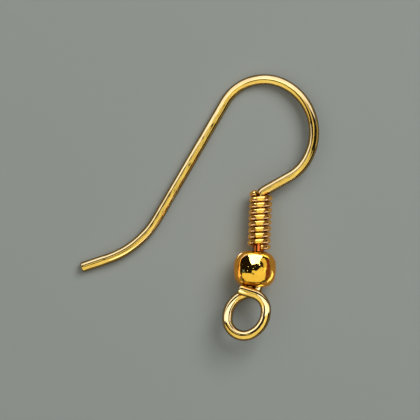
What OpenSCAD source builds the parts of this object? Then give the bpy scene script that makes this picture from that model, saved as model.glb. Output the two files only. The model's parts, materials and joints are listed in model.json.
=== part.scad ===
/* [Ear wire] */
// Diameter of the ear wire, 21 gauge
wire_d = 0.72; // [0.68:0.02:0.74]
// How far the edges of the wire's cut ends are rounded
end_round = 0.12; // [0.05:0.01:0.2]
// Straight stem, from the foot of the eye to the kink
stem_len = 6.38; // [6.36:0.02:7]
// How far the stem's foot lies below the middle of the bead
foot_drop = 1.19; // [1.19:0.01:1.3]

/* [Arch and leg] */
// Bend radius of the kink above the coil
kink_r = 0.5; // [0.45:0.05:0.7]
// Turn of the kink, away from the leg
kink_turn = 58.5; // [50:0.5:60]
// Straight shank between the kink and the arch
shank_len = 2.06; // [1.8:0.02:2.4]
// Bend radius of the arch where it leaves the shank
arch_foot_r = 3.2; // [2.9:0.1:3.5]
// Turn of that first bend
arch_foot_turn = 30.5; // [25:0.5:35]
// Bend radius of the arch's outer side
arch_side_r = 3.9; // [3.6:0.1:4.2]
// Turn of the arch's outer side
arch_side_turn = 92.5; // [85:0.5:95]
// Bend radius of the arch's top, where it turns into the leg
arch_top_r = 3.2; // [2.9:0.1:3.5]
// Turn of the arch's top
arch_top_turn = 87.5; // [80:0.5:90]
// Straight leg, which hangs behind the ear
leg_len = 9.65; // [8.5:0.05:11]
// Bend radius where the leg flares away from the neck
flare_r = 6.4; // [5:0.1:8]
// Turn of the flare
flare_turn = 41.5; // [30:0.5:45]
// Straight tail after the flare
tail_len = 1.98; // [1.6:0.02:2.6]

/* [Eye] */
// Bend radius where the stem turns into the eye
eye_foot_r = 0.5; // [0.45:0.01:0.55]
// Turn from the stem into the eye
eye_foot_turn = 82.5; // [80:0.5:85]
// Bend radius of the eye's two long sides
eye_side_r = 1.84; // [1.76:0.02:1.9]
// Turn of the long side next to the stem
eye_first_turn = 87.5; // [84:0.5:92]
// Bend radius of the eye's two ends
eye_end_r = 1.22; // [1.14:0.02:1.3]
// Turn of the end away from the stem
eye_far_turn = 111.5; // [106:0.5:115]
// Turn of the long side opposite the stem
eye_second_turn = 68.5; // [64:0.5:72]
// Turn of the end that comes back to the stem
eye_near_turn = 69.5; // [65:0.5:73]
// Straight tip that crosses in front of the stem
eye_tip_len = 1.11; // [0.9:0.01:1.25]
// Air between the strands where they cross
eye_gap = 0.03; // [0.02:0.01:0.06]

/* [Ball bead] */
// Outer diameter of the bead, across its upright sides
bead_d = 3; // [2.9:0.02:3.02]
// Height of those upright sides
bead_side = 0.66; // [0.5:0.02:0.68]
// Radius of the rounded shoulders above and below them
bead_shoulder_r = 0.96; // [0.9:0.02:0.98]
// Diameter of its hole
bead_hole_d = 1.25; // [1.25:0.01:1.35]
// Thickness of its wall, which is rolled round at the hole
bead_wall = 0.2; // [0.15:0.01:0.25]
// How far the loose bead leans towards the leg's side
bead_lean = 0.21; // [0:0.01:0.21]

/* [Coil] */
// Diameter of the thin wire that the coil is wound from
coil_wire_d = 0.4; // [0.36:0.01:0.42]
// Air between the stem and the coil
coil_play = 0.07; // [0.03:0.01:0.09]
// Air between one turn and the next
coil_air = 0.034; // [0.02:0.002:0.036]
// Turns of the coil
coil_turns = 8.88; // [8:0.01:8.9]
// Height of the coil's lower end above the middle of the bead
coil_lift = 1.55; // [1.54:0.01:1.58]

/* [Hidden] */
$fn = 48;

// The flat frame has the bead's middle height on the stem's axis as its origin, +Y up the stem,
// +X away from the leg and +Z towards the side that the eye's tip crosses on.
wire_r = wire_d / 2;
gold = "gold";

// Columns of a bend row: straight feed, roll about the wire, bend radius, turn. A left turn is positive.
FEED = 0;
ROLL = 1;
RADIUS = 2;
TURN = 3;

// The eye climbs evenly, so that its tip passes over the strand that leaves the stem. The strands cross
// half-way along the tip.
eye_bend_path = PI / 180 * (eye_foot_r * eye_foot_turn + eye_side_r * (eye_first_turn + eye_second_turn)
    + eye_end_r * (eye_far_turn + eye_near_turn));
eye_climb = asin((wire_d + eye_gap) / (eye_bend_path + eye_tip_len / 2));

// Roll that keeps the climb even through one arc of the eye, for half of that arc
function climb_roll(turn) = atan(sin(eye_climb) * tan(turn / 2));

hook_bends = [
    [stem_len, 0, kink_r, -kink_turn],
    [shank_len, 0, arch_foot_r, arch_foot_turn],
    [0, 0, arch_side_r, arch_side_turn],
    [0, 0, arch_top_r, arch_top_turn],
    [leg_len, 0, flare_r, -flare_turn],
];
ARCH_TOP = 3;

eye_bends = [
    [0, -eye_climb, eye_foot_r, -eye_foot_turn],
    [0, climb_roll(eye_first_turn), eye_side_r, eye_first_turn],
    [0, climb_roll(eye_first_turn) + climb_roll(eye_far_turn), eye_end_r, eye_far_turn],
    [0, climb_roll(eye_far_turn) + climb_roll(eye_second_turn), eye_side_r, eye_second_turn],
    [0, climb_roll(eye_second_turn) + climb_roll(eye_near_turn), eye_end_r, eye_near_turn],
];

// Placing matrices
function shift(v) = [[1, 0, 0, v.x], [0, 1, 0, v.y], [0, 0, 1, v.z], [0, 0, 0, 1]];
function turn_x(a) = [[1, 0, 0, 0], [0, cos(a), -sin(a), 0], [0, sin(a), cos(a), 0], [0, 0, 0, 1]];
function turn_y(a) = [[cos(a), 0, sin(a), 0], [0, 1, 0, 0], [-sin(a), 0, cos(a), 0], [0, 0, 0, 1]];
function turn_z(a) = [[cos(a), -sin(a), 0, 0], [sin(a), cos(a), 0, 0], [0, 0, 1, 0], [0, 0, 0, 1]];
function origin_of(m) = [m[0][3], m[1][3], m[2][3]];
function heading_of(m) = [m[0][1], m[1][1], m[2][1]];

// Frame at part of the way through a bend row, where part runs from 0 to 1
function bend_centre(row) = [-sign(row[TURN]) * row[RADIUS], 0, 0];
function through(row, part) =
    shift([0, row[FEED], 0]) * turn_y(row[ROLL])
    * shift(bend_centre(row)) * turn_z(part * row[TURN]) * shift(-bend_centre(row));
function frame_at(start, rows, count) =
    count == 0 ? start : frame_at(start, rows, count - 1) * through(rows[count - 1], 1);

foot = shift([0, -foot_drop, 0]);
eye_start = foot * turn_z(180);
tail_start = frame_at(foot, hook_bends, len(hook_bends));
tail_end = origin_of(tail_start * shift([0, tail_len, 0]));
tip_start = frame_at(eye_start, eye_bends, len(eye_bends));

// Lying on a flat surface, the part touches it with the tail's end, the arch's top and the bead.
// The line over the first two is a tangent from the tail's end to the arch's top.
top_row = hook_bends[ARCH_TOP];
top_centre = origin_of(frame_at(foot, hook_bends, ARCH_TOP) * shift(bend_centre(top_row)));
to_top = top_centre - tail_end;
rest_line = atan2(to_top.y, to_top.x) + asin(arch_top_r / norm(to_top));

// The bead leans until its hole meets the stem, with a hair of air left
HOLE_AIR = 0.015;
bead_play = (bead_hole_d - wire_d) / 2 - HOLE_AIR;
bead_rise = sqrt(bead_play * bead_play - bead_lean * bead_lean);
bead_centre = [-bead_lean, 0, bead_rise];
// The bead touches the surface with the upper edge of its upright sides
bead_touch = [bead_centre.x, bead_side / 2];
bead_reach = (bead_touch.x - tail_end.x) * sin(rest_line) - (bead_touch.y - tail_end.y) * cos(rest_line);
rest_tilt = asin((bead_d / 2 - wire_r) / norm([bead_reach, bead_rise])) - atan2(bead_rise, bead_reach);

// Turn of the whole part on the surface, so that its leg and stem lie as they do in use seen from the side
lie_turn = -2.2;
on_table = turn_z(lie_turn + rest_line) * turn_x(-rest_tilt) * turn_z(-rest_line) * shift(-tail_end);

// Box of the wire, from points along it and the round section at each
STEPS = 24;
function points_along(start, rows) = [
    for (i = [0:len(rows) - 1], k = [0:STEPS]) on_table * frame_at(start, rows, i) * through(rows[i], k / STEPS)
];
wire_frames = concat(
    points_along(foot, hook_bends),
    points_along(eye_start, eye_bends),
    [on_table * tail_start * shift([0, tail_len, 0])]
);
function reach(m, axis) = wire_r * sqrt(1 - pow(heading_of(m)[axis], 2));
function low(axis) = min([for (m = wire_frames) origin_of(m)[axis] - reach(m, axis)]);
function high(axis) = max([for (m = wire_frames) origin_of(m)[axis] + reach(m, axis)]);
placed = shift([-(low(0) + high(0)) / 2, -(low(1) + high(1)) / 2, wire_r]) * on_table;

// Neighbouring stretches of wire end just short of each other, inside a joint that is a hair thicker
SEAM = 0.01;
JOINT_LEN = 0.06;
JOINT_LIP = 0.006;

module joint() {
    rotate([-90, 0, 0]) cylinder(h = JOINT_LEN, r = wire_r + JOINT_LIP, center = true);
}

module straight(length) {
    translate([0, SEAM, 0]) rotate([-90, 0, 0]) cylinder(h = length - 2 * SEAM, d = wire_d);
}

module cut_end(length) {
    rotate([-90, 0, 0]) rotate_extrude() {
        translate([0, SEAM]) square([wire_r, length - end_round - SEAM]);
        translate([0, SEAM]) square([wire_r - end_round, length - SEAM]);
        translate([wire_r - end_round, length - end_round]) intersection() {
            circle(end_round);
            square(end_round);
        }
    }
}

module arc(radius, turn) {
    seam_angle = SEAM / radius * 180 / PI;
    translate([-sign(turn) * radius, 0, 0])
        rotate([0, 0, seam_angle + (turn > 0 ? 0 : 180 + turn)])
            rotate_extrude(angle = abs(turn) - 2 * seam_angle) translate([radius, 0]) circle(d = wire_d);
}

// Wire through the bend rows from the first one on, with the children at its end
module bent_wire(rows, i = 0) {
    if (i == len(rows)) {
        children();
    } else {
        if (rows[i][FEED] > 0) straight(rows[i][FEED]);
        translate([0, rows[i][FEED], 0]) rotate([0, rows[i][ROLL], 0]) {
            if (rows[i][FEED] > 0) joint();
            arc(rows[i][RADIUS], rows[i][TURN]);
            translate(bend_centre(rows[i])) rotate([0, 0, rows[i][TURN]]) translate(-bend_centre(rows[i])) {
                joint();
                bent_wire(rows, i + 1) children();
            }
        }
    }
}

module ear_wire() {
    color(gold) multmatrix(placed) translate([0, -foot_drop, 0]) {
        joint();
        bent_wire(hook_bends) cut_end(tail_len);
        rotate([0, 0, 180]) bent_wire(eye_bends) cut_end(eye_tip_len);
    }
}

// Half outline of the barrel-shaped ball, or of its inside when it is inset
module barrel(inset) {
    for (side = [-1, 1])
        translate([bead_d / 2 - bead_shoulder_r, side * bead_side / 2]) circle(bead_shoulder_r - inset, $fn = 96);
    translate([0, -bead_side / 2]) square([bead_d / 2 - inset, bead_side]);
}

// Half section of the bead's wall, between its two rims, which are full rounds
module bead_section() {
    shoulder_x = bead_d / 2 - bead_shoulder_r;
    rim_x = (bead_hole_d + bead_wall) / 2;
    to_rim_x = rim_x - shoulder_x;
    to_rim_y = sqrt(pow(bead_shoulder_r - bead_wall / 2, 2) - to_rim_x * to_rim_x);
    far = bead_d;
    intersection() {
        difference() {
            barrel(0);
            barrel(bead_wall);
        }
        polygon([
            [shoulder_x, -bead_side / 2],
            [shoulder_x + far * to_rim_x, -bead_side / 2 - far * to_rim_y],
            [far, -bead_side / 2 - far * to_rim_y],
            [far, bead_side / 2 + far * to_rim_y],
            [shoulder_x + far * to_rim_x, bead_side / 2 + far * to_rim_y],
            [shoulder_x, bead_side / 2]
        ]);
    }
    for (side = [-1, 1]) translate([rim_x, side * (bead_side / 2 + to_rim_y)]) circle(d = bead_wall);
}

module ball_bead() {
    color(gold) multmatrix(placed) translate(bead_centre)
        rotate([-90, 0, 0]) rotate_extrude($fn = 96) bead_section();
}

// The coil is a right-hand helix of thin wire, swept ring by ring
RINGS = 24;
SIDES = 12;
coil_r = wire_r + coil_play + coil_wire_d / 2;
coil_pitch = coil_wire_d + coil_air;
// Angle of the lower cut end, from the front towards the arch's side
coil_start = 16;

function coil_ring(k) =
    let (turn = 360 * k / RINGS, slope = atan(coil_pitch / (2 * PI * coil_r)))
    [for (s = [0:SIDES - 1])
        let (a = 360 * (s + 0.5) / SIDES, out = coil_r + coil_wire_d / 2 * cos(a), up = coil_wire_d / 2 * sin(a),
            angle = coil_start + turn)
        [
            out * sin(angle) - up * sin(slope) * cos(angle),
            coil_lift + coil_pitch * turn / 360 + up * cos(slope),
            out * cos(angle) + up * sin(slope) * sin(angle)
        ]
    ];

module coil() {
    last = round(coil_turns * RINGS);
    points = [for (k = [0:last]) each coil_ring(k)];
    walls = [for (k = [0:last - 1], s = [0:SIDES - 1])
        let (t = (s + 1) % SIDES, a = k * SIDES + s, b = k * SIDES + t, c = b + SIDES, d = a + SIDES)
        each [[a, b, c], [a, c, d]]
    ];
    start_face = [for (s = [SIDES - 1:-1:0]) s];
    end_face = [for (s = [0:SIDES - 1]) last * SIDES + s];
    color(gold) multmatrix(placed) polyhedron(points, concat(walls, [start_face, end_face]), convexity = 10);
}

ear_wire();
ball_bead();
coil();
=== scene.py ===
"""Gold ear wire with a ball bead and a coil, lying on a pale surface under soft studio light."""
import json
import math
from collections import namedtuple

import bpy
from bpy.props import FloatProperty, FloatVectorProperty, PointerProperty
from mathutils import Matrix, Vector


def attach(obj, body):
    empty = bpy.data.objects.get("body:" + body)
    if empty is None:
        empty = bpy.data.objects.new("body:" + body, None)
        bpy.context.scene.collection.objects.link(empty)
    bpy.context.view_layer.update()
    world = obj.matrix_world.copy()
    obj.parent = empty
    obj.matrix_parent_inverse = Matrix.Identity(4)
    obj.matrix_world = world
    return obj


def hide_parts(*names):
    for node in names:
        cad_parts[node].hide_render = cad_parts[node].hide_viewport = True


bl_info = {
    "name": "Ear Wire with Bead and Coil",
    "version": (1, 0, 0),
    "blender": (4, 5, 0),
    "location": "View3D > Sidebar > Ear Wire",
    "description": "Bends a gold ear wire, forms its bead, winds its coil and lights them",
    "category": "Add Mesh",
}

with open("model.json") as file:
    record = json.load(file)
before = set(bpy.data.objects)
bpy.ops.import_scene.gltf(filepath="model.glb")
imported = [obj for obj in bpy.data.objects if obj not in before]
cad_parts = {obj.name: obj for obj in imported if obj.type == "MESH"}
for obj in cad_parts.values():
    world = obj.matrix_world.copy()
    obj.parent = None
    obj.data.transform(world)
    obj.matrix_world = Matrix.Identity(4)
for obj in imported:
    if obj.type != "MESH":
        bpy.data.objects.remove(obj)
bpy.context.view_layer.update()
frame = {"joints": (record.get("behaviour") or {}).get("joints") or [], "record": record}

# Pieces are shaped on a bench that works in millimetres, and are set down in metres.
BENCH = 1000
MM = 0.001


def length(name, description, millimetres):
    """A size that is stored in metres."""
    return FloatProperty(
        name=name,
        description=description,
        default=millimetres * MM,
        min=0,
        precision=5,
        unit="LENGTH",
        subtype="DISTANCE",
    )


def angle(name, description, degrees):
    """An angle that is stored in radians."""
    return FloatProperty(
        name=name,
        description=description,
        default=math.radians(degrees),
        unit="ROTATION",
        subtype="ANGLE",
    )


def colour(name, description, rgb):
    """A colour in linear light."""
    return FloatVectorProperty(
        name=name, description=description, default=rgb, min=0, max=1, size=3, subtype="COLOR"
    )


def amount(name, description, value):
    """A plain number."""
    return FloatProperty(name=name, description=description, default=value, min=0, precision=4)


class EARWIRE_WireSettings(bpy.types.PropertyGroup):
    """Sizes of the bent wire, from the tail over the arch to the eye"""

    wire_diameter: length("Wire diameter", "Round wire of 21 gauge", 0.72)
    end_rounding: length("End rounding", "How far the edges of the cut ends are rounded", 0.12)
    stem_length: length("Stem", "Straight stem from the eye to the kink", 6.38)
    foot_drop: length("Foot drop", "How far the stem's foot lies below the middle of the bead", 1.19)
    kink_radius: length("Kink radius", "Bend radius of the kink above the coil", 0.5)
    kink_turn: angle("Kink turn", "Turn of the kink, away from the leg", 58.5)
    shank_length: length("Shank", "Straight shank between the kink and the arch", 2.06)
    arch_foot_radius: length("Arch foot radius", "Bend radius where the arch leaves the shank", 3.2)
    arch_foot_turn: angle("Arch foot turn", "Turn where the arch leaves the shank", 30.5)
    arch_side_radius: length("Arch side radius", "Bend radius of the arch's outer side", 3.9)
    arch_side_turn: angle("Arch side turn", "Turn of the arch's outer side", 92.5)
    arch_top_radius: length("Arch top radius", "Bend radius of the arch's top", 3.2)
    arch_top_turn: angle("Arch top turn", "Turn of the arch's top, into the leg", 87.5)
    leg_length: length("Leg", "Straight leg, which hangs behind the ear", 9.65)
    flare_radius: length("Flare radius", "Bend radius where the leg flares away", 6.4)
    flare_turn: angle("Flare turn", "Turn of the flare", 41.5)
    tail_length: length("Tail", "Straight tail after the flare", 1.98)
    eye_foot_radius: length("Eye foot radius", "Bend radius where the stem turns into the eye", 0.5)
    eye_foot_turn: angle("Eye foot turn", "Turn from the stem into the eye", 82.5)
    eye_side_radius: length("Eye side radius", "Bend radius of the eye's two long sides", 1.84)
    eye_first_turn: angle("Eye first turn", "Turn of the long side next to the stem", 87.5)
    eye_end_radius: length("Eye end radius", "Bend radius of the eye's two ends", 1.22)
    eye_far_turn: angle("Eye far turn", "Turn of the end away from the stem", 111.5)
    eye_second_turn: angle("Eye second turn", "Turn of the long side opposite the stem", 68.5)
    eye_near_turn: angle("Eye near turn", "Turn of the end that comes back to the stem", 69.5)
    eye_tip_length: length("Eye tip", "Straight tip that crosses in front of the stem", 1.11)
    eye_gap: length("Eye gap", "Air between the strands where they cross", 0.03)


class EARWIRE_BeadSettings(bpy.types.PropertyGroup):
    """Sizes of the hollow ball bead"""

    ball_diameter: length("Ball diameter", "Outer diameter across the upright sides", 3)
    side_height: length("Side height", "Height of the upright sides", 0.66)
    shoulder_radius: length("Shoulder radius", "Radius of the shoulders above and below the sides", 0.96)
    hole_diameter: length("Hole diameter", "Diameter of the hole at its narrowest", 1.25)
    wall: length("Wall", "Thickness of the wall", 0.2)
    side_swell: angle("Side swell", "How far the swollen sides turn before the shoulders take over", 8.5)


class EARWIRE_CoilSettings(bpy.types.PropertyGroup):
    """Sizes of the coil of thin wire"""

    wire_diameter: length("Wire diameter", "Thin wire that the coil is wound from", 0.4)
    end_rounding: length("End rounding", "How far the edges of the cut ends are rounded", 0.04)
    play: length("Play", "Air between the stem and the coil", 0.07)
    air: length("Air between turns", "Air between one turn and the next", 0.034)
    turns: amount("Turns", "How many turns the coil has", 8.88)
    lift: length("Lift", "Height of the coil's lower end above the middle of the bead", 1.55)
    start: angle("Start", "Where the lower cut end lies, from the front towards the arch", 16)


class EARWIRE_GoldSettings(bpy.types.PropertyGroup):
    """Colours and finish of the gold plate, and the painted shade on it"""

    wire_colour: colour("Wire gold", "Gold plate on the ear wire", (0.62, 0.4, 0.14))
    bead_colour: colour("Bead gold", "Gold plate on the ball", (0.62, 0.35, 0.06))
    coil_colour: colour("Coil gold", "Gold plate on the coil", (0.62, 0.41, 0.12))
    # Painted shade: a coppery red for the shade and the gold-on-gold reflections where the stem, the coil and
    # the ball meet.
    painted_shade_colour: colour("Coppery tint", "Colour of the neck, the holes and the grooves", (0.55, 0.13, 0.03))
    # Painted shade: the near-black tint darkens the wire's outline, where its reflection would show the shade
    # that it casts on the surface beside it.
    wire_edge_painted_shade: colour("Wire edge tint", "Tint of the wire where it is seen at a low angle", (0.1, 0.06, 0.02))
    round_edge: colour("Ball and coil edge tint", "Tint of both, seen at a low angle", (0.72, 0.62, 0.48))
    wire_roughness: amount("Wire roughness", "Roughness of the plate on the drawn wire", 0.11)
    bead_roughness: amount("Bead roughness", "Roughness of the mirror-polished ball", 0.05)
    coil_roughness: amount("Coil roughness", "Roughness of the plate on the thin wire", 0.12)
    die_lines: length("Die lines", "Depth of the lines that the drawing die left", 0.0012)
    wire_dents: length("Wire dents", "Depth of the shallow dents and waves of the wire", 0.06)
    bead_dents: length("Bead dents", "Depth of the small dents of the ball", 0.06)
    pits: length("Pits", "Depth of the pits in the plate", 0.004)


class EARWIRE_StageSettings(bpy.types.PropertyGroup):
    """The surface, the camera and the lights"""

    surface_colour: colour("Surface", "Colour of the pale surface", (0.36, 0.388, 0.36))
    picture_width: length("Picture width", "Width of the surface that the picture shows", 30)
    camera_distance: length("Camera distance", "Height of the camera above the surface", 300)


Setup = namedtuple("Setup", "wire bead coil gold stage")


def settings(context):
    scene = context.scene
    return Setup(
        scene.earwire_wire,
        scene.earwire_bead,
        scene.earwire_coil,
        scene.earwire_gold,
        scene.earwire_stage,
    )


def joint_named(name):
    return next(joint for joint in frame["joints"] if joint["name"] == name)


def mount_named(name):
    return next(mount for mount in frame["record"]["mounts"] if mount["name"] == name)


def flat_frame():
    """The frame that the wire is bent in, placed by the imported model's joints and mounts.

    It has +Y up the stem, +Z through the eye and its origin on the stem's axis, level with the bead's middle.
    """
    coil_turn = joint_named("coil_turn")
    up = Vector(coil_turn["axis"]).normalized()
    through_eye = Vector(mount_named("eye")["axis"])
    across = up.cross(through_eye).normalized()
    through_eye = across.cross(up)
    on_axis = Vector(coil_turn["pos_m"])
    bead_middle = Vector(joint_named("bead_spin")["pos_m"])
    origin = on_axis + up * (bead_middle - on_axis).dot(up)
    turn = Matrix((across, up, through_eye)).transposed()
    return Matrix.Translation(origin) @ turn.to_4x4()


FLAT = flat_frame()


# Bench work
SMOOTH_ANGLE = math.radians(40)


def clear_selection():
    if bpy.context.object and bpy.context.object.mode != "OBJECT":
        bpy.ops.object.mode_set(mode="OBJECT")
    bpy.ops.object.select_all(action="DESELECT")


def edit(action):
    """Opens the piece on the bench with all of it selected or none."""
    bpy.ops.object.mode_set(mode="EDIT")
    bpy.ops.mesh.select_all(action=action)


def close_edit():
    bpy.ops.object.mode_set(mode="OBJECT")


def select_faces(piece, wanted):
    """Selects the faces for which wanted(face) is true, and leaves the piece in edit mode."""
    close_edit()
    for part in (piece.data.vertices, piece.data.edges, piece.data.polygons):
        part.foreach_set("select", [False] * len(part))
    for face in piece.data.polygons:
        face.select = wanted(face)
    bpy.ops.object.mode_set(mode="EDIT")
    bpy.ops.mesh.select_mode(type="FACE")


def finish_piece(piece, name, place, body, node, material):
    """Sets a bench piece down in its place, in metres, ties it to its body and hides the model's node."""
    close_edit()
    piece.name = name
    piece.data.name = name
    piece.matrix_world = place @ Matrix.Scale(MM, 4)
    clear_selection()
    piece.select_set(True)
    bpy.context.view_layer.objects.active = piece
    bpy.ops.object.transform_apply(location=True, rotation=True, scale=True)
    bpy.ops.object.shade_smooth_by_angle(angle=SMOOTH_ANGLE)
    piece.data.materials.clear()
    piece.data.materials.append(material)
    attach(piece, body)
    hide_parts(node)


# Materials
def add_node(tree, kind, values, **traits):
    """Adds a shader node, sets its traits and its inputs, and links the inputs that are given as sockets."""
    made = tree.nodes.new("ShaderNode" + kind)
    for name, value in traits.items():
        setattr(made, name, value)
    for name, value in values.items():
        if isinstance(value, bpy.types.NodeSocket):
            tree.links.new(value, made.inputs[name])
        else:
            made.inputs[name].default_value = value
    return made


def stretched_noise(tree, place, scale, detail):
    """Noise whose grains measure one over the scale in millimetres, along each axis."""
    mapping = add_node(tree, "Mapping", {"Vector": place, "Scale": scale})
    noise = add_node(tree, "TexNoise", {"Vector": mapping.outputs["Vector"], "Scale": 1, "Detail": detail})
    return noise.outputs["Fac"]


def map_range(tree, value, low, high, to_low, to_high):
    values = {"Value": value, "From Min": low, "From Max": high, "To Min": to_low, "To Max": to_high}
    return add_node(tree, "MapRange", values).outputs["Result"]


def mix_colours(tree, share, first, second):
    return add_node(tree, "MixRGB", {"Fac": share, "Color1": first, "Color2": second}).outputs["Color"]


# Painted coppery shade: a coppery red stands for the shade and the gold-on-gold reflections where the stem,
# the coil and the ball meet. Its share goes from none at the start distance to all at the end distance. Both
# are measured from the middle, along one axis of the straight wire or the ball, in millimetres.
Tint = namedtuple("Tint", "axis middle start end")
NECK_PAINTED_SHADE = Tint("Y", 2.66, 0.5, 0.3)
GROOVE_PAINTED_SHADE = Tint("X", 0.2, 0.2, 0.5)
HOLE_PAINTED_SHADE = Tint("Z", 0, 1.24, 1.36)

# The grain is the size of a dent in millimetres: long waves on the wires and small dents on the ball.
Finish = namedtuple("Finish", "colour edge roughness dents grain")
WAVE_GRAIN = 1.2
DENT_GRAIN = 0.6

# Grains per millimetre across the wire, along it and across it again
DIE_LINE_GRAINS = (24, 0.7, 24)
CLOUD_GRAINS = (1.6, 0.8, 1.6)
# Cells per millimetre that each hold one pit, and the pit's inner and outer radius in cells
PIT_CELLS = 3.2
PIT_FLOOR = 0.04
PIT_RIM = 0.1
# The noise at which a cloud of deeper gold begins and is full, and the share of deeper gold in a full one
DEEP_CLOUD = (0.35, 0.75)
CLOUD_SHARE = 0.35
# The noise between which the polish goes from its finest to its dullest, and the roughness of both, as
# shares of the finish's own
POLISH_CLOUD = (0.3, 0.7)
FINEST = 0.8
DULLEST = 1.25


def worn_normal(tree, place, finish, gold):
    """The plate's normal, with its handling dents, die lines and pits."""
    dents = stretched_noise(tree, place, [1 / finish.grain] * 3, detail=1)
    lines = stretched_noise(tree, place, DIE_LINE_GRAINS, detail=3)
    cells = add_node(tree, "TexVoronoi", {"Vector": place, "Scale": PIT_CELLS})
    pits = map_range(tree, cells.outputs["Distance"], PIT_FLOOR, PIT_RIM, 1, 0)
    normal = None
    for height, depth in ((dents, finish.dents), (lines, gold.die_lines), (pits, -gold.pits)):
        values = {"Height": height, "Distance": abs(depth)}
        if normal:
            values["Normal"] = normal
        normal = add_node(tree, "Bump", values, invert=depth < 0).outputs["Normal"]
    return normal


def painted_shade_share(tree, place, tint):
    """How much of the painted coppery shade there is at each point, from 0 to 1."""
    coordinate = add_node(tree, "SeparateXYZ", {"Vector": place}).outputs[tint.axis]
    offset = add_node(tree, "Math", {0: coordinate, 1: tint.middle}, operation="SUBTRACT")
    away = add_node(tree, "Math", {0: offset.outputs["Value"]}, operation="ABSOLUTE")
    return map_range(tree, away.outputs["Value"], tint.start, tint.end, 0, 1)


def gold_plate(name, finish, gold, tint):
    """Polished gold plate: clouds in its colour and polish, fine wear, and a band of painted coppery shade.
    """
    material = bpy.data.materials.new(name)
    material.use_nodes = True
    tree = material.node_tree
    shader = tree.nodes["Principled BSDF"]
    place = add_node(tree, "Attribute", {}, attribute_name="drawn").outputs["Vector"]
    clouds = stretched_noise(tree, place, CLOUD_GRAINS, detail=4)
    deep_gold = [part * part for part in finish.colour]
    deep_share = map_range(tree, clouds, *DEEP_CLOUD, 0, CLOUD_SHARE)
    plate = mix_colours(tree, deep_share, (*finish.colour, 1), (*deep_gold, 1))
    # Painted shade: the coppery red is laid over the plate where the parts meet and shade each other.
    plate = mix_colours(tree, painted_shade_share(tree, place, tint), plate, (*gold.painted_shade_colour, 1))
    finest, dullest = finish.roughness * FINEST, finish.roughness * DULLEST
    uneven = map_range(tree, clouds, *POLISH_CLOUD, finest, dullest)
    shader.inputs["Metallic"].default_value = 1
    shader.inputs["Specular Tint"].default_value = (*finish.edge, 1)
    tree.links.new(plate, shader.inputs["Base Color"])
    tree.links.new(uneven, shader.inputs["Roughness"])
    tree.links.new(worn_normal(tree, place, finish, gold), shader.inputs["Normal"])
    return material


# Wire bending
Bend = namedtuple("Bend", "feed roll radius turn")


def hook_bends(wire):
    """The bends from the stem's foot up to the tail. A left turn is positive."""
    return (
        Bend(wire.stem_length, 0, wire.kink_radius, -wire.kink_turn),
        Bend(wire.shank_length, 0, wire.arch_foot_radius, wire.arch_foot_turn),
        Bend(0, 0, wire.arch_side_radius, wire.arch_side_turn),
        Bend(0, 0, wire.arch_top_radius, wire.arch_top_turn),
        Bend(wire.leg_length, 0, wire.flare_radius, -wire.flare_turn),
    )


def eye_bends(wire):
    """The bends from the stem's foot round the eye, which climbs so that its tip passes over the stem."""
    foot_path = wire.eye_foot_radius * wire.eye_foot_turn
    side_path = wire.eye_side_radius * (wire.eye_first_turn + wire.eye_second_turn)
    end_path = wire.eye_end_radius * (wire.eye_far_turn + wire.eye_near_turn)
    path = foot_path + side_path + end_path + wire.eye_tip_length / 2
    climb = math.asin((wire.wire_diameter + wire.eye_gap) / path)
    arcs = (
        (wire.eye_side_radius, wire.eye_first_turn),
        (wire.eye_end_radius, wire.eye_far_turn),
        (wire.eye_side_radius, wire.eye_second_turn),
        (wire.eye_end_radius, wire.eye_near_turn),
    )
    bends = [Bend(0, -climb, wire.eye_foot_radius, -wire.eye_foot_turn)]
    # Half of an arc's roll comes before it and half after it, which keeps the climb even.
    roll_left = 0
    for radius, turn in arcs:
        half_roll = math.atan(math.sin(climb) * math.tan(turn / 2))
        bends.append(Bend(0, roll_left + half_roll, radius, turn))
        roll_left = half_roll
    return bends


# How finely the wire is drawn, with its steps in millimetres
WIRE_SIDES = 48
WIRE_END_STEPS = 5
FEED_STEP = 0.16
ARC_STEP = 0.1
# A face is square to an axis when its normal has more than this share along it.
SQUARE = 0.99


def feed_wire(place, distance, rings):
    """Pushes the selected end of the wire straight on, in short steps."""
    steps = max(1, round(distance / FEED_STEP))
    heading = place.to_3x3() @ Vector((0, distance / steps, 0))
    for _ in range(steps):
        bpy.ops.mesh.extrude_region_move(TRANSFORM_OT_translate={"value": heading})
        place = Matrix.Translation(heading) @ place
        rings.append((place, distance / steps))
    return place


def bend_wire(place, radius, turn, rings):
    """Bends the selected end of the wire round an arc."""
    steps = max(3, round(abs(turn) * radius / ARC_STEP))
    side = math.copysign(1, turn)
    middle = place @ Vector((-side * radius, 0, 0))
    axis = place.to_3x3() @ Vector((0, 0, side))
    # The operator turns against the right-hand rule.
    bpy.ops.mesh.spin(steps=steps, angle=abs(turn), center=middle, axis=-axis, use_auto_merge=False)
    step_turn = Matrix.Rotation(abs(turn) / steps, 4, axis)
    for _ in range(steps):
        place = Matrix.Translation(middle) @ step_turn @ Matrix.Translation(-middle) @ place
        rings.append((place, abs(turn) * radius / steps))
    return place


def run_wire(place, bends, last, rings):
    """Feeds the selected end of the wire through all the bends, and then straight on for the last bit."""
    for bend in bends:
        if bend.feed:
            place = feed_wire(place, bend.feed * BENCH, rings)
        place = place @ Matrix.Rotation(bend.roll, 4, "Y")
        place = bend_wire(place, bend.radius * BENCH, bend.turn, rings)
    return feed_wire(place, last * BENCH, rings)


def unbend(piece, numbered_rings, direction):
    """Stores where each point lay on the straight wire, so that die lines follow the bends.

    The direction is 1 for the rings from the stem's foot to the tail, and -1 for those round the eye.
    """
    drawn = piece.data.attributes.get("drawn") or piece.data.attributes.new("drawn", "FLOAT_VECTOR", "POINT")
    along = 0
    for number, (place, step) in numbered_rings:
        along += step
        back = place.inverted()
        for index in range(number * WIRE_SIDES, (number + 1) * WIRE_SIDES):
            local = back @ piece.data.vertices[index].co
            drawn.data[index].vector = (local.x * direction, direction * along, local.z)


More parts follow.
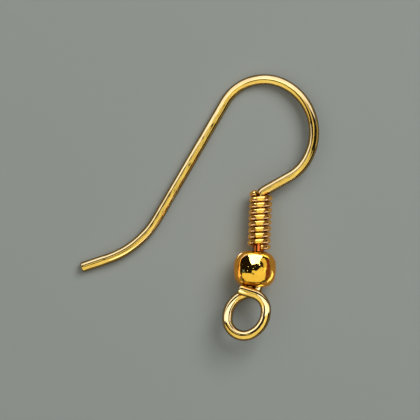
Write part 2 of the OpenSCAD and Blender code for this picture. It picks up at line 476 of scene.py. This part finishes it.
class EARWIRE_OT_bend_wire(bpy.types.Operator):
    """Bend the ear wire out of one round wire, from the stem's foot both ways"""

    bl_idname = "earwire.bend_wire"
    bl_label = "Bend Wire"
    bl_options = {"REGISTER", "UNDO"}

    def execute(self, context):
        setup = settings(context)
        wire, gold = setup.wire, setup.gold
        clear_selection()
        foot = Matrix.Translation((0, -wire.foot_drop * BENCH, 0))
        bpy.ops.mesh.primitive_circle_add(
            vertices=WIRE_SIDES,
            radius=wire.wire_diameter / 2 * BENCH,
            fill_type="NGON",
            location=foot.translation,
            rotation=(-math.pi / 2, 0, 0),
        )
        piece = context.object
        bpy.ops.object.transform_apply(location=True, rotation=True, scale=True)
        edit("SELECT")
        bpy.ops.mesh.select_mode(type="FACE")
        hook_rings = [(foot, 0)]
        run_wire(foot, hook_bends(wire), wire.tail_length, hook_rings)
        # The face at the stem's foot is still there, and the eye grows out of it.
        foot_height = foot.translation.y
        select_faces(
            piece,
            lambda face: face.normal.y < -SQUARE
            and abs(face.center.y - foot_height) < FEED_STEP / 2
            and len(face.vertices) == WIRE_SIDES,
        )
        eye_rings = []
        upside_down = foot @ Matrix.Rotation(math.pi, 4, "Z")
        run_wire(upside_down, eye_bends(wire), wire.eye_tip_length, eye_rings)
        close_edit()
        expected = WIRE_SIDES * (len(hook_rings) + len(eye_rings))
        if len(piece.data.vertices) != expected:
            raise RuntimeError(f"the wire has {len(piece.data.vertices)} points, and not {expected}")
        unbend(piece, enumerate(hook_rings), 1)
        unbend(piece, enumerate(eye_rings, len(hook_rings)), -1)
        select_faces(piece, lambda face: len(face.vertices) == WIRE_SIDES)
        bpy.ops.mesh.bevel(
            offset=wire.end_rounding * BENCH, offset_type="OFFSET", segments=WIRE_END_STEPS, affect="EDGES"
        )
        close_edit()
        # The wire's near-black edge tint is painted shade along its outline.
        finish = Finish(gold.wire_colour, gold.wire_edge_painted_shade, gold.wire_roughness, gold.wire_dents, WAVE_GRAIN)
        # Painted coppery shade on the stem's neck, between the coil and the bead.
        material = gold_plate("wire_gold", finish, gold, NECK_PAINTED_SHADE)
        finish_piece(piece, "bent_wire", FLAT, "ear_wire", "ear_wire", material)
        return {"FINISHED"}


# Ball
BALL_SIDES = 128
SIDE_STEPS = 6
SHOULDER_STEPS = 24
RIM_STEPS = 12


def round_points(middle, radius, start, end, steps):
    """Points on an arc, as radius from the bead's axis and height."""
    angles = [start + (end - start) * step / steps for step in range(steps + 1)]
    return [(middle[0] + radius * math.cos(a), middle[1] + radius * math.sin(a)) for a in angles]


def bead_outline(bead):
    """The closed outline of the bead's wall: up its outside, round a rim, down its inside and back."""
    wall = bead.wall * BENCH
    shoulder = bead.shoulder_radius * BENCH
    middle_radius = shoulder - wall / 2
    swell = bead.side_swell
    # The sides get the radius that keeps the shoulders at the height where upright sides would put them.
    side = shoulder + bead.side_height / 2 * BENCH / math.sin(swell)
    side_middle = (bead.ball_diameter / 2 * BENCH - side, 0)
    to_shoulder = side - shoulder
    shoulder_middle = (side_middle[0] + to_shoulder * math.cos(swell), to_shoulder * math.sin(swell))
    rim_radius = (bead.hole_diameter * BENCH + wall) / 2
    rim_angle = math.acos((rim_radius - shoulder_middle[0]) / middle_radius)
    rim_middle = (rim_radius, shoulder_middle[1] + middle_radius * math.sin(rim_angle))
    outside = round_points(side_middle, side, 0, swell, SIDE_STEPS)
    outside += round_points(shoulder_middle, shoulder, swell, rim_angle, SHOULDER_STEPS)[1:]
    rim = round_points(rim_middle, wall / 2, rim_angle, rim_angle + math.pi, RIM_STEPS)
    inside = round_points(shoulder_middle, shoulder - wall, rim_angle, swell, SHOULDER_STEPS)
    inside += round_points(side_middle, side - wall, swell, 0, SIDE_STEPS)[1:]
    upper = outside + rim[1:-1] + inside
    lower = [(radius, -height) for radius, height in reversed(upper)]
    return upper + lower[1:-1]


class EARWIRE_OT_form_bead(bpy.types.Operator):
    """Form the hollow barrel-shaped ball with its rolled rims"""

    bl_idname = "earwire.form_bead"
    bl_label = "Form Bead"
    bl_options = {"REGISTER", "UNDO"}

    def execute(self, context):
        setup = settings(context)
        bead, gold = setup.bead, setup.gold
        outline = bead_outline(bead)
        reach, height = outline[0]
        clear_selection()
        bpy.ops.mesh.primitive_circle_add(
            vertices=BALL_SIDES, radius=reach, fill_type="NOTHING", location=(0, 0, height)
        )
        piece = context.object
        bpy.ops.object.transform_apply(location=True, rotation=True, scale=True)
        edit("SELECT")
        bpy.ops.mesh.select_mode(type="EDGE")
        for next_reach, next_height in outline[1:]:
            bpy.ops.mesh.extrude_edges_move(TRANSFORM_OT_translate={"value": (0, 0, next_height - height)})
            widening = next_reach / reach
            bpy.ops.transform.resize(value=(widening, widening, 1), center_override=(0, 0, next_height))
            reach, height = next_reach, next_height
        bpy.ops.mesh.select_all(action="DESELECT")
        bpy.ops.mesh.select_non_manifold(extend=False)
        bpy.ops.mesh.bridge_edge_loops()
        edit("SELECT")
        bpy.ops.mesh.normals_make_consistent(inside=False)
        close_edit()
        expected = BALL_SIDES * len(outline)
        if len(piece.data.vertices) != expected or len(piece.data.polygons) != expected:
            raise RuntimeError(f"the ball has {len(piece.data.polygons)} faces, and not {expected}")
        drawn = piece.data.attributes.new("drawn", "FLOAT_VECTOR", "POINT")
        for vertex in piece.data.vertices:
            drawn.data[vertex.index].vector = vertex.co
        along_stem = Matrix.Rotation(-math.pi / 2, 4, "X")
        place = Matrix.Translation(joint_named("bead_spin")["pos_m"]) @ FLAT.to_3x3().to_4x4() @ along_stem
        finish = Finish(gold.bead_colour, gold.round_edge, gold.bead_roughness, gold.bead_dents, DENT_GRAIN)
        # Painted coppery shade round the ball's holes, where the stem and the coil meet it.
        material = gold_plate("bead_gold", finish, gold, HOLE_PAINTED_SHADE)
        finish_piece(piece, "ball", place, "ball_bead", "ball_bead", material)
        return {"FINISHED"}


# Coil
COIL_SIDES = 32
COIL_END_STEPS = 3
STEPS_PER_TURN = 72


def unwind(piece, coil_radius, pitch, lift):
    """Stores where each point lay on the straight thin wire."""
    drawn = piece.data.attributes.new("drawn", "FLOAT_VECTOR", "POINT")
    turn_path = math.hypot(2 * math.pi * coil_radius, pitch)
    for vertex in piece.data.vertices:
        part_turn = math.atan2(vertex.co.y, vertex.co.x) / (2 * math.pi)
        turn = part_turn + round((vertex.co.z - lift) / pitch - part_turn)
        out = vertex.co.xy.length - coil_radius
        up = vertex.co.z - lift - turn * pitch
        drawn.data[vertex.index].vector = (out, turn * turn_path, up)


class EARWIRE_OT_wind_coil(bpy.types.Operator):
    """Wind the coil of thin wire round the stem"""

    bl_idname = "earwire.wind_coil"
    bl_label = "Wind Coil"
    bl_options = {"REGISTER", "UNDO"}

    def execute(self, context):
        setup = settings(context)
        wire, coil, gold = setup.wire, setup.coil, setup.gold
        thin_radius = coil.wire_diameter / 2 * BENCH
        coil_radius = (wire.wire_diameter / 2 + coil.play) * BENCH + thin_radius
        pitch = (coil.wire_diameter + coil.air) * BENCH
        end_rounding = coil.end_rounding * BENCH
        slope = math.atan(pitch / (2 * math.pi * coil_radius))
        clear_selection()
        # The ring stands across the wire, at the lower cut end, and the stem's axis is the bench's Z.
        bpy.ops.mesh.primitive_circle_add(
            vertices=COIL_SIDES,
            radius=thin_radius,
            fill_type="NOTHING",
            location=(coil_radius, 0, coil.lift * BENCH),
            rotation=(math.pi / 2 + slope, 0, 0),
        )
        piece = context.object
        bpy.ops.object.transform_apply(location=True, rotation=True, scale=True)
        helix = piece.modifiers.new("Helix", "SCREW")
        helix.axis = "Z"
        helix.angle = coil.turns * 2 * math.pi
        helix.screw_offset = coil.turns * pitch
        helix.steps = round(coil.turns * STEPS_PER_TURN)
        helix.render_steps = helix.steps
        helix.use_smooth_shade = True
        bpy.ops.object.modifier_apply(modifier=helix.name)
        edit("DESELECT")
        bpy.ops.mesh.select_mode(type="EDGE")
        bpy.ops.mesh.select_non_manifold(extend=False)
        bpy.ops.mesh.edge_face_add()
        edit("SELECT")
        bpy.ops.mesh.normals_make_consistent(inside=False)
        close_edit()
        unwind(piece, coil_radius, pitch, coil.lift * BENCH)
        select_faces(piece, lambda face: len(face.vertices) == COIL_SIDES)
        bpy.ops.mesh.bevel(offset=end_rounding, offset_type="OFFSET", segments=COIL_END_STEPS, affect="EDGES")
        close_edit()
        # The bench's X is the flat frame's front, turned on by the start towards the arch.
        stand = Matrix(((0, 1, 0), (0, 0, 1), (1, 0, 0))).to_4x4()
        place = FLAT @ stand @ Matrix.Rotation(coil.start, 4, "Z")
        finish = Finish(gold.coil_colour, gold.round_edge, gold.coil_roughness, gold.wire_dents, WAVE_GRAIN)
        # Painted coppery shade on the inner side of the coil's turns, towards the stem.
        material = gold_plate("coil_gold", finish, gold, GROOVE_PAINTED_SHADE)
        finish_piece(piece, "wound_coil", place, "coil", "coil", material)
        return {"FINISHED"}


# Stage
SURFACE_SIDE = 4
PICTURE_PIXELS = 420
# Where the middle of the part's box lies in the photograph, from its upper left corner
MIDDLE_PIXEL = (199.4, 207.2)
SENSOR_MM = 36
ROOM_COLOUR = (1, 0.9, 0.8)
ROOM_STRENGTH = 0.02

# Each card lights only the one piece that it names, so that the surface stays even.
WIRE = "bent_wire"
BALL = "ball"
COIL = "wound_coil"
SURFACE = "surface"

PLAIN = (1, 1, 1)
WHITE = (1, 0.97, 0.97)
YELLOW = (0.95, 1, 0.55)
LIME = (0.8, 1, 0.4)
PEACH = (1, 0.62, 0.4)
RED = (1, 0.3, 0.3)
PINK = (0.6, 0.55, 1)
COOL = (0.5, 0.62, 1)
SKY = (0.35, 0.45, 1)
TEAL = (0.2, 0.4, 1)
BLUE = (0.2, 0.27, 1)

# A far card faces the part. Its zenith angle and azimuth from +X are in degrees, its distance in metres.
FarCard = namedtuple("FarCard", "name zenith azimuth distance sides radiance colour lights")
FAR_CARDS = (
    FarCard("tail_card", 16, 112, 0.3, (0.14, 0.1), 1.4, YELLOW, WIRE),
    FarCard("leg_card", 10, -30, 0.3, (0.07, 0.13), 1.6, YELLOW, WIRE),
    FarCard("low_card", 80, 4, 0.3, (0.14, 0.1), 0.8, YELLOW, WIRE),
    FarCard("ball_window", 56, 87, 0.3, (0.34, 0.48), 15, COOL, BALL),
    FarCard("ball_side", 60.5, 28, 0.3, (0.3, 0.11), 1.4, YELLOW, BALL),
    FarCard("ball_foot", 28, 130, 0.3, (0.075, 0.075), 15, COOL, BALL),
    FarCard("ball_glint", 66, 180, 0.3, (0.045, 0.1), 1.2, TEAL, BALL),
    FarCard("ball_dusk", 80, 0, 0.3, (0.4, 0.11), 0.3, RED, BALL),
    FarCard("coil_window", 56, 90, 0.3, (0.36, 0.31), 4.2, WHITE, COIL),
    FarCard("coil_low", 80, -90, 0.3, (1.2, 0.1), 4.5, PINK, COIL),
    FarCard("key", 42, 50, 0.4, (0.24, 0.24), 4.7, PLAIN, SURFACE),
)

# A hung card has its middle and its sides in metres and its turns in degrees. Unturned, it faces down.
HungCard = namedtuple("HungCard", "name place sides turns radiance colour lights")
UNTURNED = (0, 0, 0)
FACING_RIGHT = (0, -90, 0)
FACING_UP = (180, 0, 0)
HUNG_CARDS = (
    HungCard("wire_window", (-0.007, 0.0348, 0.009), (0.105, 0.05), (-11.5, 0, 8), 3.6, COOL, WIRE),
    HungCard("near_card", (-0.45, -0.755, 0.16), (1.3, 1.44), UNTURNED, 1.5, YELLOW, WIRE),
    HungCard("eye_left", (-0.00155, -0.0067, 0.004), (0.0089, 0.0018), UNTURNED, 4.4, COOL, WIRE),
    HungCard("eye_right", (0.00865, -0.0068, 0.004), (0.0087, 0.0022), UNTURNED, 4.4, COOL, WIRE),
    HungCard("neck_card", (0.0041, -0.0027, 0.0045), (0.005, 0.001), UNTURNED, 0.9, WHITE, WIRE),
    HungCard("neck_side", (0.0012, -0.0027, 0.0012), (0.0018, 0.0008), FACING_RIGHT, 0.9, WHITE, WIRE),
    HungCard("ball_near", (-0.45, -0.765, 0.16), (1.9, 1.4), (0, 0, 7), 1.6, YELLOW, BALL),
    HungCard("coil_near", (0, -0.695, 0.16), (0.235, 1.45), UNTURNED, 1.5, LIME, COIL),
    HungCard("coil_wide", (0, 0, 0.3), (2.4, 2.4), UNTURNED, 0.35, PEACH, COIL),
    HungCard("coil_end", (0.0024, 0.0019, 0.0022), (0.0014, 0.0008), FACING_RIGHT, 8, WHITE, COIL),
    HungCard("fill", (0, 0, 0.6), (1.6, 1.6), UNTURNED, 0.5, PLAIN, SURFACE),
)

# A low card lies just above the surface and faces up. It stands for light that the surface sends back.
LowCard = namedtuple("LowCard", "name place sides radiance colour lights")
JUST_ABOVE = 0.0001
LOW_CARDS = (
    LowCard("ball_left", (-0.0156, 0.0036), (0.018, 0.028), 2.4, PEACH, BALL),
    LowCard("ball_right", (0.0105, -0.0074), (0.004, 0.005), 2.4, WHITE, BALL),
    LowCard("ball_top", (0.00875, 0.0115), (0.0195, 0.019), 3, YELLOW, BALL),
    LowCard("ball_blush", (-0.00625, 0.0115), (0.0105, 0.019), 5.8, BLUE, BALL),
    LowCard("ball_front", (0.0025, -0.0115), (0.006, 0.007), 2.6, YELLOW, BALL),
    LowCard("ball_under", (0, 0), (0.1, 0.1), 0.25, PEACH, BALL),
    LowCard("ball_spot", (0.0016, -0.002), (0.0016, 0.0016), 10, SKY, BALL),
    LowCard("coil_left", (-0.0087, -0.0085), (0.013, 0.006), 4, PINK, COIL),
    LowCard("coil_right", (0.0173, -0.0085), (0.013, 0.006), 4, PINK, COIL),
    LowCard("coil_under", (0, 0), (0.1, 0.1), 0.3, PEACH, COIL),
)


def towards(zenith, azimuth):
    """The unit vector towards a zenith angle and an azimuth from +X, both in degrees."""
    zenith, azimuth = math.radians(zenith), math.radians(azimuth)
    level = math.sin(zenith)
    return Vector((level * math.cos(azimuth), level * math.sin(azimuth), math.cos(zenith)))


def put_card(card, place, facing):
    """A soft light for the one piece that the card names. The camera sees it only as a reflection."""
    width, height = card.sides
    bpy.ops.object.light_add(type="AREA", location=place, rotation=facing)
    lamp = bpy.context.object
    lamp.name = card.name
    lamp.data.shape = "RECTANGLE"
    lamp.data.size = width
    lamp.data.size_y = height
    # A flat light gives off pi times its radiance and its area.
    lamp.data.energy = math.pi * card.radiance * width * height
    lamp.data.color = card.colour
    lamp.visible_camera = False
    receivers = bpy.data.collections.new(card.name)
    receivers.objects.link(bpy.data.objects[card.lights])
    lamp.light_linking.receiver_collection = receivers


def in_radians(turns):
    return [math.radians(turn) for turn in turns]


def put_cards():
    for card in FAR_CARDS:
        aim = towards(card.zenith, card.azimuth)
        put_card(card, aim * card.distance, aim.to_track_quat("Z", "Y").to_euler())
    for card in HUNG_CARDS:
        put_card(card, card.place, in_radians(card.turns))
    for card in LOW_CARDS:
        put_card(card, (*card.place, JUST_ABOVE), in_radians(FACING_UP))


def dull_grey(rgb):
    """The dull finish of the plain surface."""
    material = bpy.data.materials.new("pale_surface")
    material.use_nodes = True
    shader = material.node_tree.nodes["Principled BSDF"]
    shader.inputs["Base Color"].default_value = (*rgb, 1)
    shader.inputs["Roughness"].default_value = 0.8
    shader.inputs["Specular IOR Level"].default_value = 0.2
    return material


def place_camera(stage):
    """A camera that looks straight down and shows the part where the photograph does."""
    shift = Vector((PICTURE_PIXELS / 2 - MIDDLE_PIXEL[0], MIDDLE_PIXEL[1] - PICTURE_PIXELS / 2))
    middle = shift * stage.picture_width / PICTURE_PIXELS
    bpy.ops.object.camera_add(location=(middle.x, middle.y, stage.camera_distance), rotation=(0, 0, 0))
    camera = bpy.context.object
    camera.name = "camera"
    camera.data.sensor_width = SENSOR_MM
    camera.data.lens = SENSOR_MM * stage.camera_distance / stage.picture_width
    camera.data.clip_start = 0.001
    camera.data.clip_end = 10
    bpy.context.scene.camera = camera


class EARWIRE_OT_set_stage(bpy.types.Operator):
    """Lay out the pale surface, the camera above it and the soft lights"""

    bl_idname = "earwire.set_stage"
    bl_label = "Set Stage"
    bl_options = {"REGISTER", "UNDO"}

    def execute(self, context):
        stage = settings(context).stage
        clear_selection()
        bpy.ops.mesh.primitive_plane_add(size=SURFACE_SIDE)
        surface = context.object
        surface.name = SURFACE
        surface.data.materials.append(dull_grey(stage.surface_colour))
        place_camera(stage)
        put_cards()
        world = bpy.data.worlds.new("room")
        context.scene.world = world
        world.use_nodes = True
        background = world.node_tree.nodes["Background"]
        background.inputs["Color"].default_value = (*ROOM_COLOUR, 1)
        background.inputs["Strength"].default_value = ROOM_STRENGTH
        context.scene.view_settings.view_transform = "Standard"
        return {"FINISHED"}


class EARWIRE_PT_panel(bpy.types.Panel):
    """Lists the steps that make the ear wire"""

    bl_label = "Ear Wire"
    bl_idname = "EARWIRE_PT_panel"
    bl_space_type = "VIEW_3D"
    bl_region_type = "UI"
    bl_category = "Ear Wire"

    def draw(self, context):
        for operator in OPERATORS:
            self.layout.operator(operator.bl_idname)
        for group in settings(context):
            box = self.layout.box()
            for name in group.__annotations__:
                box.prop(group, name)


GROUPS = {
    "earwire_wire": EARWIRE_WireSettings,
    "earwire_bead": EARWIRE_BeadSettings,
    "earwire_coil": EARWIRE_CoilSettings,
    "earwire_gold": EARWIRE_GoldSettings,
    "earwire_stage": EARWIRE_StageSettings,
}
OPERATORS = (
    EARWIRE_OT_bend_wire,
    EARWIRE_OT_form_bead,
    EARWIRE_OT_wind_coil,
    EARWIRE_OT_set_stage,
)


def register():
    for group in GROUPS.values():
        bpy.utils.register_class(group)
    for operator in OPERATORS:
        bpy.utils.register_class(operator)
    bpy.utils.register_class(EARWIRE_PT_panel)
    for name, group in GROUPS.items():
        setattr(bpy.types.Scene, name, PointerProperty(type=group))


def unregister():
    for name in GROUPS:
        delattr(bpy.types.Scene, name)
    bpy.utils.unregister_class(EARWIRE_PT_panel)
    for operator in reversed(OPERATORS):
        bpy.utils.unregister_class(operator)
    for group in reversed(GROUPS.values()):
        bpy.utils.unregister_class(group)


def main():
    register()
    bpy.ops.earwire.bend_wire()
    bpy.ops.earwire.form_bead()
    bpy.ops.earwire.wind_coil()
    bpy.ops.earwire.set_stage()


if __name__ == "__main__":
    main()
